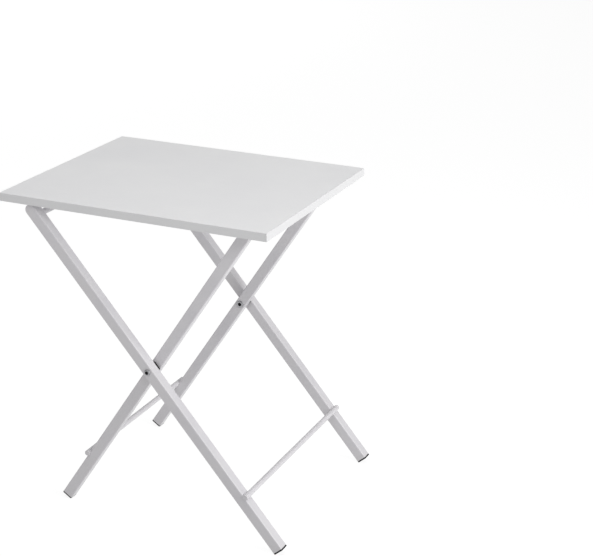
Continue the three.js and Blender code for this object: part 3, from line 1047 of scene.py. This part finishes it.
@dataclass
class LegFrame:
    """One pair of square-tube legs with its top bar, brace rod, foot plugs and welds."""

    body: Body
    prefix: str
    axes: Axes
    tube: float = 22 * MM
    wall: float = 1.4 * MM
    corner: float = 2 * MM
    bore_corner: float = 0.8 * MM
    bore_overrun: float = 5 * MM
    plug_edge: float = 0.35 * MM
    plug_flange: float = 3.0 * MM
    plug_gap: float = 0.15 * MM
    plug_slack: float = 0.8 * MM
    fin_height: float = 0.6 * MM
    fin_pitch: float = 3.4 * MM
    fin_count: int = 4
    notch_gap: float = 0.15 * MM
    rod_round: float = 0.9 * MM
    rod_steps: int = 40
    hinge_hole_radius: float = 3.3 * MM
    hole_radius: float = 0.0
    eared: bool = False
    bead: WeldBead = field(default_factory=WeldBead)

    @property
    def half(self) -> float:
        """Half the tube."""
        return self.tube / 2

    @property
    def rod_radius(self) -> float:
        """The brace rod's radius."""
        low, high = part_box(f"{self.prefix}_brace_rod")
        return (high.x - low.x) / 2

    @property
    def foot(self) -> float:
        """How far along the axis the plug's end face is; its lowest edge is on the floor."""
        slope = self.axes.up
        return -(self.axes.origin.z - self.half * abs(slope.x)) / slope.z

    @property
    def crown(self) -> float:
        """How far along the axis the centre of the rounded top is."""
        low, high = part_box(f"{self.prefix}_leg_near")
        return (high.z - self.half - self.axes.origin.z) / self.axes.up.z

    def build(self) -> None:
        """Builds every piece of the frame."""
        for side, _ in SIDES:
            across = middle(f"{self.prefix}_leg_{side}").y
            leg = softened(self.leg(f"{self.prefix}_{side}_leg_tube", across), 0.0)
            dressed(leg, self.body, PAINT, f"{self.prefix}_leg_{side}")
            plug = softened(self.plug(f"{self.prefix}_{side}_foot_cap", across), self.plug_edge, 2)
            dressed(plug, self.body, BLACK, f"{self.prefix}_foot_plug_{side}")
        rods = {f"{self.prefix}_top_bar": 0.0, f"{self.prefix}_brace_rod": self.rod_round}
        for node, chamfer in rods.items():
            dressed(self.rod(f"{node}_steel", node, chamfer), self.body, PAINT, node)
        welds = self.bead.along(f"{self.prefix}_frame_welds", self.weld_paths(), PAINT)
        dressed(welds, self.body, PAINT)

    def skin(self, name: str, across: float, half: float, corner: float, foot: float) -> bpy.types.Object:
        """A square prism along the leg with a half-round top.

        Args:
            name: The object's name.
            across: The leg's place along Y.
            half: Half the prism's width.
            corner: Radius of its long edges.
            foot: Where its square end is, along the axis.

        Returns:
            The new object.
        """
        angles = [math.radians(d) for d in (0, 8, 16, 24, 32, 40, 48, 56, 64, 71, 77, 82, 86)]
        crown = [(self.crown + half * math.sin(a), half * math.cos(a)) for a in angles]
        stations = [(foot, half), *crown]
        rings = []
        for along, width in stations:
            outline = rounded_rectangle(2 * width, 2 * half, corner, 5)
            rings.append([self.axes.at(x, across + y, along) for x, y in outline])
        return loft(name, rings)

    def leg(self, name: str, across: float) -> bpy.types.Object:
        """A hollow leg with its pivot hole, the brace rod's notch and, if it is eared, a hinge bolt's hole.

        Args:
            name: The object's name.
            across: The leg's place along Y.

        Returns:
            The new object.
        """
        foot = self.foot + self.plug_flange + self.plug_gap
        made = self.skin(name, across, self.half, self.corner, foot)
        inner = self.half - self.wall
        hollow = self.skin("bore", across, inner, self.bore_corner, foot - self.bore_overrun)
        ends = (-self.tube, self.tube)
        hole = turned("hole", self.axes.at(0.0, across, 0.0), [(self.hole_radius, y) for y in ends])
        rod = middle(f"{self.prefix}_brace_rod")
        notch_radius = self.rod_radius + self.notch_gap
        at_rod = Vector((rod.x, across, rod.z))
        notch = turned("notch", at_rod, [(notch_radius, y) for y in ends])
        holes = [self.hinge_hole(across)] if self.eared else []
        return carved(made, hollow, hole, notch, *holes)

    def hinge_hole(self, across: float) -> bpy.types.Object:
        """The hole through a leg's inside wall for its hinge bolt.

        Args:
            across: The leg's place along Y.

        Returns:
            The new object, a tool for cutting.
        """
        side = "far" if across > 0 else "near"
        bolt = middle(f"hinge_bolt_{side}")
        inward = -math.copysign(1.0, across)
        wall = across + inward * (self.half - self.wall / 2)
        ends = sorted((wall - self.wall, wall + self.wall))
        axis = Vector((bolt.x, 0.0, bolt.z))
        return turned("hinge_hole", axis, [(self.hinge_hole_radius, y) for y in ends])

    def plug(self, name: str, across: float) -> bpy.types.Object:
        """A foot plug: a crowned flange and a stem with gripping fins inside the tube.

        Args:
            name: The object's name.
            across: The leg's place along Y.

        Returns:
            The new object.
        """
        tip = 2 * (self.half - self.wall) - self.plug_slack
        root = tip - 2 * self.fin_height
        stem_corner = 1.0 * MM
        flange_top = self.foot + self.plug_flange - self.plug_gap
        stations = [
            (self.foot, self.tube - 1.2 * MM, self.corner),
            (self.foot + 0.5 * MM, self.tube, self.corner),
            (flange_top, self.tube, self.corner),
            (flange_top, root, stem_corner),
        ]
        for fin in range(self.fin_count):
            along = flange_top + 1.5 * MM + fin * self.fin_pitch
            outline = ((0.0, root), (0.4 * MM, tip), (1.1 * MM, tip), (2.0 * MM, root))
            stations += [(along + rise, width, stem_corner) for rise, width in outline]
        rings = []
        for height, width, corner in stations:
            outline = rounded_rectangle(width, width, corner, 4)
            rings.append([self.axes.at(x, across + y, height) for x, y in outline])
        return loft(name, rings)

    def rod(self, name: str, node: str, chamfer: float) -> bpy.types.Object:
        """A round bar along Y in place of a CAD one.

        Args:
            name: The object's name.
            node: The CAD node.
            chamfer: How far its ends are rounded.

        Returns:
            The new object.
        """
        low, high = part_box(node)
        radius, reach = (high.x - low.x) / 2, (high.y - low.y) / 2
        profile = [(radius, -reach), (radius, reach)]
        if chamfer > 0:
            angles = [math.radians(d) for d in (0, 22, 45, 68, 90)]
            shoulder, tip = radius - chamfer, reach - chamfer
            end = [(shoulder + chamfer * math.cos(a), tip + chamfer * math.sin(a)) for a in angles]
            profile = [(r, -y) for r, y in reversed(end)] + end
        return softened(turned(name, middle(node), profile, self.rod_steps), 0.0)

    def lower_arc(self, centre: Vector, radius: float) -> list[Vector]:
        """The part of a ring that faces down the leg, clear of a bracket's ear above it.

        Args:
            centre: The ring's centre.
            radius: The ring's radius.

        Returns:
            The points from one end of the arc to the other.
        """
        angles = [math.radians(d) for d in range(-80, 81, 5)]
        return [
            centre - self.axes.up * (radius * math.cos(a)) + self.axes.out * (radius * math.sin(a))
            for a in angles
        ]

    def weld_paths(self) -> list[tuple[list[Vector], bool]]:
        """Rings where the top bar meets the legs, and lines beside the brace rod on each leg's face.

        Returns:
            Point lists, each with whether it closes on itself.
        """
        paths: list[tuple[list[Vector], bool]] = []
        low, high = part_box(f"{self.prefix}_top_bar")
        bar = middle(f"{self.prefix}_top_bar")
        ring = (high.x - low.x) / 2 + 0.5 * self.bead.radius
        rod = middle(f"{self.prefix}_brace_rod") - self.axes.origin
        face = math.copysign(self.half, rod.dot(self.axes.out))
        along = rod.dot(self.axes.up)
        proud = abs(rod.dot(self.axes.out)) - self.half
        beside = math.sqrt(self.rod_radius**2 - proud**2) + 0.3 * self.bead.radius
        for side, sign in SIDES:
            end = (high.y if sign > 0 else low.y) - sign * 0.2 * self.bead.radius
            centre = Vector((bar.x, end, bar.z))
            if self.eared:
                paths.append((self.lower_arc(centre, ring), False))
            else:
                paths.append((ring_across(centre, ring, RING_STEPS), True))
            across = middle(f"{self.prefix}_leg_{side}").y
            reach = self.half - self.corner - self.bead.radius
            for step in (-1.0, 1.0):
                ends = [self.axes.at(face, across + y, along + step * beside) for y in (-reach, reach)]
                paths.append((ends, False))
        return paths


@dataclass
class PivotSet:
    """The two pivots: button-head bolt, spacer and flanged sleeve nut."""

    head_radius: float = 6.1 * MM
    head_height: float = 3.2 * MM
    head_rim: float = 1.3 * MM
    shank_radius: float = 3.0 * MM
    socket_radius: float = 3.9 * MM
    socket_depth: float = 2.2 * MM
    nut_socket_radius: float = 4.4 * MM
    nut_socket_depth: float = 5.0 * MM
    spacer_edge: float = 0.45 * MM
    flange_radius: float = 8.0 * MM
    flange_thickness: float = 1.8 * MM
    barrel_radius: float = 4.75 * MM
    bore_radius: float = 3.3 * MM

    def build(self) -> None:
        """Builds both pivots."""
        for side, sign in SIDES:
            self.bolt(side, sign)
            self.spacer(side)
            self.sleeve_nut(side, sign)

    def bolt(self, side: str, sign: float) -> None:
        """A bolt with a domed head and a hexagonal socket whose walls are painted near black as the shade
        in its recess.

        Args:
            side: The side's name, near or far.
            sign: -1 on the near side and 1 on the far side.
        """
        node = f"pivot_bolt_{side}"
        low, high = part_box(node)
        centre = middle(node)
        outside = max(abs(low.y), abs(high.y))
        inside = min(abs(low.y), abs(high.y))
        seat = outside - self.head_height
        shank, head = self.shank_radius, self.head_radius
        rise = self.head_height - self.head_rim
        dome = [
            (head * (0.66 + 0.34 * math.cos(a)), seat + self.head_rim + rise * math.sin(a))
            for a in (math.radians(d) for d in (0, 18, 36, 54, 72, 90))
        ]
        profile = [(shank - 0.4 * MM, inside), (shank, inside + 0.4 * MM), (shank, seat)]
        profile += [(head - 0.3 * MM, seat), (head, seat + 0.3 * MM), *dome]
        profile.append((self.socket_radius * 1.04, dome[-1][1]))
        axis = Vector((centre.x, 0.0, centre.z))
        made = turned(f"{node}_button", axis, [(r, sign * y) for r, y in profile])
        self.socketed(made, axis, sign, outside, -self.socket_depth, self.socket_radius)
        dressed(made, Body.OUTER, DULL_ZINC_PAINTED_SHADE, node)
        self.paint_socket_shade(made, axis, self.socket_radius, outside, self.socket_depth)

    def socketed(
        self, made: bpy.types.Object, axis: Vector, sign: float, face: float, depth: float, radius: float
    ) -> None:
        """Cuts a hexagonal socket.

        Args:
            made: The piece to cut.
            axis: A point on the socket's axis, at y = 0.
            sign: -1 on the near side and 1 on the far side.
            face: Distance of the head's face from the middle of the table.
            depth: How far the socket goes from the face, negative towards the middle.
            radius: The socket's corner radius.
        """
        ends = sorted((face + depth, face - math.copysign(3 * MM, depth)))
        tool = turned("socket", axis, [(radius, sign * y) for y in ends], 6, math.radians(30.0))
        carved(made, tool)
        softened(made, 0.0)

    def paint_socket_shade(
        self, made: bpy.types.Object, axis: Vector, radius: float, face: float, depth: float
    ) -> None:
        """Paints a socket's walls and floor near black, as painted shade for the recess.

        Args:
            made: The piece.
            axis: A point on the socket's axis.
            radius: The socket's corner radius.
            face: Distance of the head's face from the middle of the table.
            depth: How deep the socket is.
        """
        made.data.materials.append(SOCKET_PAINTED_SHADE.material())
        for polygon in made.data.polygons:
            centre = polygon.center
            away = math.hypot(centre.x - axis.x, centre.z - axis.z)
            sunk = abs(abs(centre.y) - face)
            if away < radius * 0.99 and 0.15 * MM < sunk < depth + 0.5 * MM:
                polygon.material_index = 1

    def spacer(self, side: str) -> None:
        """A black square block with soft edges in the gap between the legs.

        Args:
            side: The side's name, near or far.
        """
        node = f"pivot_spacer_{side}"
        block = softened(refined_copy(node, f"{node}_block"), self.spacer_edge, 3)
        dressed(block, Body.OUTER, BLACK, node)

    def sleeve_nut(self, side: str, sign: float) -> None:
        """A flanged barrel nut with a deep hexagonal socket whose walls are painted near black as the shade
        in its recess.

        Args:
            side: The side's name, near or far.
            sign: -1 on the near side and 1 on the far side.
        """
        node = f"pivot_sleeve_nut_{side}"
        low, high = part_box(node)
        face, end = sorted((abs(low.y), abs(high.y)))
        centre = middle(node)
        flange, barrel = self.flange_radius, self.barrel_radius
        seat = face + self.flange_thickness
        axis = Vector((centre.x, 0.0, centre.z))
        profile = [(barrel - 0.5 * MM, end), (barrel, end - 0.5 * MM), (barrel, seat)]
        profile += [(flange - 0.2 * MM, seat), (flange, seat - 0.2 * MM), (flange, face + 0.9 * MM)]
        profile += [(flange - 0.35 * MM, face + 0.45 * MM), (flange - 1.2 * MM, face + 0.12 * MM)]
        profile.append((5.2 * MM, face))
        made = turned(f"{node}_flange", axis, [(r, sign * y) for r, y in profile])
        reach = (face + 2 * MM, end + 3 * MM)
        bore = turned("bore", axis, [(self.bore_radius, sign * y) for y in reach], 32)
        carved(made, bore)
        self.socketed(made, axis, sign, face, self.nut_socket_depth, self.nut_socket_radius)
        dressed(made, Body.OUTER, DULL_ZINC_PAINTED_SHADE, node)
        self.paint_socket_shade(made, axis, self.nut_socket_radius, face, self.nut_socket_depth)


@dataclass
class HingeSet:
    """The board's hinge: pressed brackets, hexagon bolts and the nuts inside the legs."""

    bracket_edge: float = 0.45 * MM
    fixing_edge: float = 0.3 * MM

    def build(self) -> None:
        """Builds both sides of the hinge."""
        for side, _ in SIDES:
            shape = refined_copy(f"hinge_bracket_{side}", f"hinge_{side}_pressing")
            bracket = softened(shape, self.bracket_edge, 3)
            dressed(bracket, Body.TOP, PAINT, f"hinge_bracket_{side}")
            for kind in ("bolt", "nut"):
                node = f"hinge_{kind}_{side}"
                piece = softened(refined_copy(node, f"hinge_{side}_{kind}_hex"), self.fixing_edge, 2)
                # The hinge fixings take near-black steel as painted shade under the board.
                dressed(piece, Body.OUTER, STEEL_PAINTED_SHADE, node)


@dataclass
class HookSet:
    """The moulded hooks under the board's other end, with all the under-board screws."""

    hook_edge: float = 0.5 * MM
    seat_gap: float = 0.05 * MM
    screws: ScrewSet = field(default_factory=ScrewSet)

    def build(self) -> None:
        """Builds the hooks and the screws."""
        for side, _ in SIDES:
            shape = refined_copy(f"bar_hook_{side}", f"bar_{side}_hook_moulding")
            hook = softened(shape, self.hook_edge, 3)
            dressed(hook, Body.TOP, HOOK_WHITE, f"bar_hook_{side}")
        nodes = [
            f"{kind}_screw_{side}_{i}" for kind in ("bracket", "hook") for side, _ in SIDES for i in (1, 2)
        ]
        seats = []
        for node in nodes:
            low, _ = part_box(node)
            centre = middle(node)
            seat = low.z + self.screws.head_height + self.seat_gap
            seats.append(Vector((centre.x, centre.y, seat)))
        dressed(self.screws.at("under_board_screws", seats, ZINC), Body.TOP, ZINC, *nodes)


# ---------------------------------------------------------------------------------------------------------
# Studio
# ---------------------------------------------------------------------------------------------------------


@dataclass(frozen=True)
class SoftBox:
    """A square area light aimed at the table."""

    name: str
    place: Point
    size: float
    power: float
    colour: Colour = (1.0, 1.0, 1.0)
    mirrored: bool = True

    def build(self, target: Vector) -> None:
        """Adds the light.

        Args:
            target: What it is aimed at.
        """
        data = bpy.data.lights.new(self.name, "AREA")
        data.shape = "SQUARE"
        data.size = self.size
        data.energy = self.power
        data.color = self.colour
        made = bpy.data.objects.new(self.name, data)
        made.visible_glossy = self.mirrored
        made.location = self.place
        made.rotation_euler = (target - Vector(self.place)).to_track_quat("-Z", "Y").to_euler()
        bpy.context.scene.collection.objects.link(made)


@dataclass
class Studio:
    """The floor, soft lights and camera."""

    camera_place: Point = (1.3727, -2.5914, 1.5241)
    yaw: float = 0.41781
    pitch: float = 0.35213
    roll: float = 0.01096
    lens: float = 94.03
    sensor: float = 36.0
    far_clip: float = 200.0
    aim: Point = (0.0, 0.0, 0.35)
    horizon_blur: float = 0.1
    room_size: float = 80.0
    floor_tone: float = 0.2
    floor_glow: float = 0.88
    backdrop_glow: float = 0.91
    sky: float = 0.32
    bounce: float = 0.66
    lights: tuple[SoftBox, ...] = (
        SoftBox("key_right", (2.6, -0.3, 1.35), 1.6, 44.0),
        SoftBox("front_top", (0.25, -1.5, 2.15), 1.1, 9.0),
        SoftBox("overhead", (0.0, 0.3, 3.0), 2.0, 19.0),
        SoftBox("rear_fill", (-4.6, 4.9, 1.6), 2.6, 90.0, mirrored=False),
    )

    def build(self) -> None:
        """Builds the studio."""
        self.set_tone()
        self.build_floor()
        self.build_backdrop()
        self.build_camera()
        for light in self.lights:
            light.build(Vector(self.aim))

    def set_tone(self) -> None:
        """Plain colour rendering, with soft light from above and a little more coming up off the floor."""
        scene = bpy.context.scene
        scene.view_settings.view_transform = "Standard"
        world = bpy.data.worlds.new("studio_fill")
        world.use_nodes = True
        nodes, links = world.node_tree.nodes, world.node_tree.links
        split = nodes.new("ShaderNodeSeparateXYZ")
        fade = nodes.new("ShaderNodeMapRange")
        blur = self.horizon_blur
        ranges = {"From Min": -blur, "From Max": blur, "To Min": self.bounce, "To Max": self.sky}
        for name, number in ranges.items():
            fade.inputs[name].default_value = number
        fill = nodes["Background"]
        fill.inputs["Color"].default_value = (1.0, 1.0, 1.0, 1.0)
        links.new(nodes.new("ShaderNodeTexCoord").outputs["Generated"], split.inputs["Vector"])
        links.new(split.outputs["Z"], fade.inputs["Value"])
        links.new(fade.outputs["Result"], fill.inputs["Strength"])
        scene.world = world

    def build_floor(self) -> None:
        """A plain pale floor that takes soft shadows; the fill light stands in for its bounce."""
        half = self.room_size / 2
        mesh = bmesh.new()
        corners = ((-half, -half, 0.0), (half, -half, 0.0), (half, half, 0.0), (-half, half, 0.0))
        mesh.faces.new([mesh.verts.new(corner) for corner in corners])
        floor = object_from("studio_floor", mesh)
        floor.data.materials.append(self.pale("pale_floor", self.floor_tone, self.floor_glow))
        floor.visible_diffuse = False

    def build_backdrop(self) -> None:
        """A plain pale dome behind everything, which lights nothing and casts no shadow."""
        mesh = bmesh.new()
        bmesh.ops.create_icosphere(mesh, subdivisions=4, radius=self.room_size / 2)
        bmesh.ops.reverse_faces(mesh, faces=mesh.faces)
        dome = object_from("studio_backdrop", mesh)
        dome.data.materials.append(self.pale("pale_backdrop", 0.0, self.backdrop_glow))
        dome.visible_diffuse = dome.visible_glossy = dome.visible_shadow = False

    @staticmethod
    def pale(name: str, tone: float, glow: float) -> bpy.types.Material:
        """A matt white that also gives off a little light.

        Args:
            name: The material's name.
            tone: Its grey, from 0 to 1.
            glow: The strength of its own light.

        Returns:
            The material.
        """
        builder = ShaderBuilder(name)
        builder.set(Base_Color=(tone, tone, tone), Roughness=1.0, Specular_IOR_Level=0.0)
        builder.set(Emission_Color=(1.0, 1.0, 1.0), Emission_Strength=glow)
        builder.material.cycles.emission_sampling = "NONE"
        return builder.material

    def build_camera(self) -> None:
        """The camera, at a seated viewer's three-quarter view."""
        sin_y, cos_y = math.sin(self.yaw), math.cos(self.yaw)
        sin_p, cos_p = math.sin(self.pitch), math.cos(self.pitch)
        forward = Vector((-sin_y * cos_p, cos_y * cos_p, -sin_p))
        level = Vector((cos_y, sin_y, 0.0))
        upright = level.cross(forward)
        right = level * math.cos(self.roll) + upright * math.sin(self.roll)
        up = upright * math.cos(self.roll) - level * math.sin(self.roll)
        turn = Matrix((right, up, -forward)).transposed().to_4x4()
        data = bpy.data.cameras.new("camera")
        data.lens = self.lens
        data.sensor_width = self.sensor
        data.clip_end = self.far_clip
        camera = bpy.data.objects.new("camera", data)
        camera.matrix_world = Matrix.Translation(self.camera_place) @ turn
        bpy.context.scene.collection.objects.link(camera)
        bpy.context.scene.camera = camera


def main() -> None:
    """Builds the studio and every sub-assembly, logging each step's name and each piece's face count."""
    logging.basicConfig(level=logging.INFO, format="%(name)s: %(message)s")
    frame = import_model()
    joints = {joint["name"]: joint for joint in frame["joints"]}
    pivot = Vector(joints["leg_pivot"]["pos_m"])
    hinge = Vector(joints["top_hinge"]["pos_m"])
    outer_axes = Axes.through(pivot, hinge)
    inner_axes = Axes.through(pivot, middle("inner_top_bar"))
    outer = LegFrame(Body.OUTER, "outer", outer_axes, hole_radius=3.3 * MM, eared=True)
    inner = LegFrame(Body.INNER, "inner", inner_axes, hole_radius=5.1 * MM)
    builders: list[tuple[str, Callable[[], None]]] = [
        ("studio", Studio().build),
        ("board", Board().build),
        ("outer frame", outer.build),
        ("inner frame", inner.build),
        ("pivots", PivotSet().build),
        ("hinge", HingeSet().build),
        ("hooks", HookSet().build),
    ]
    for name, build in builders:
        LOG.info("building the %s", name)
        build()


if __name__ == "__main__":
    main()
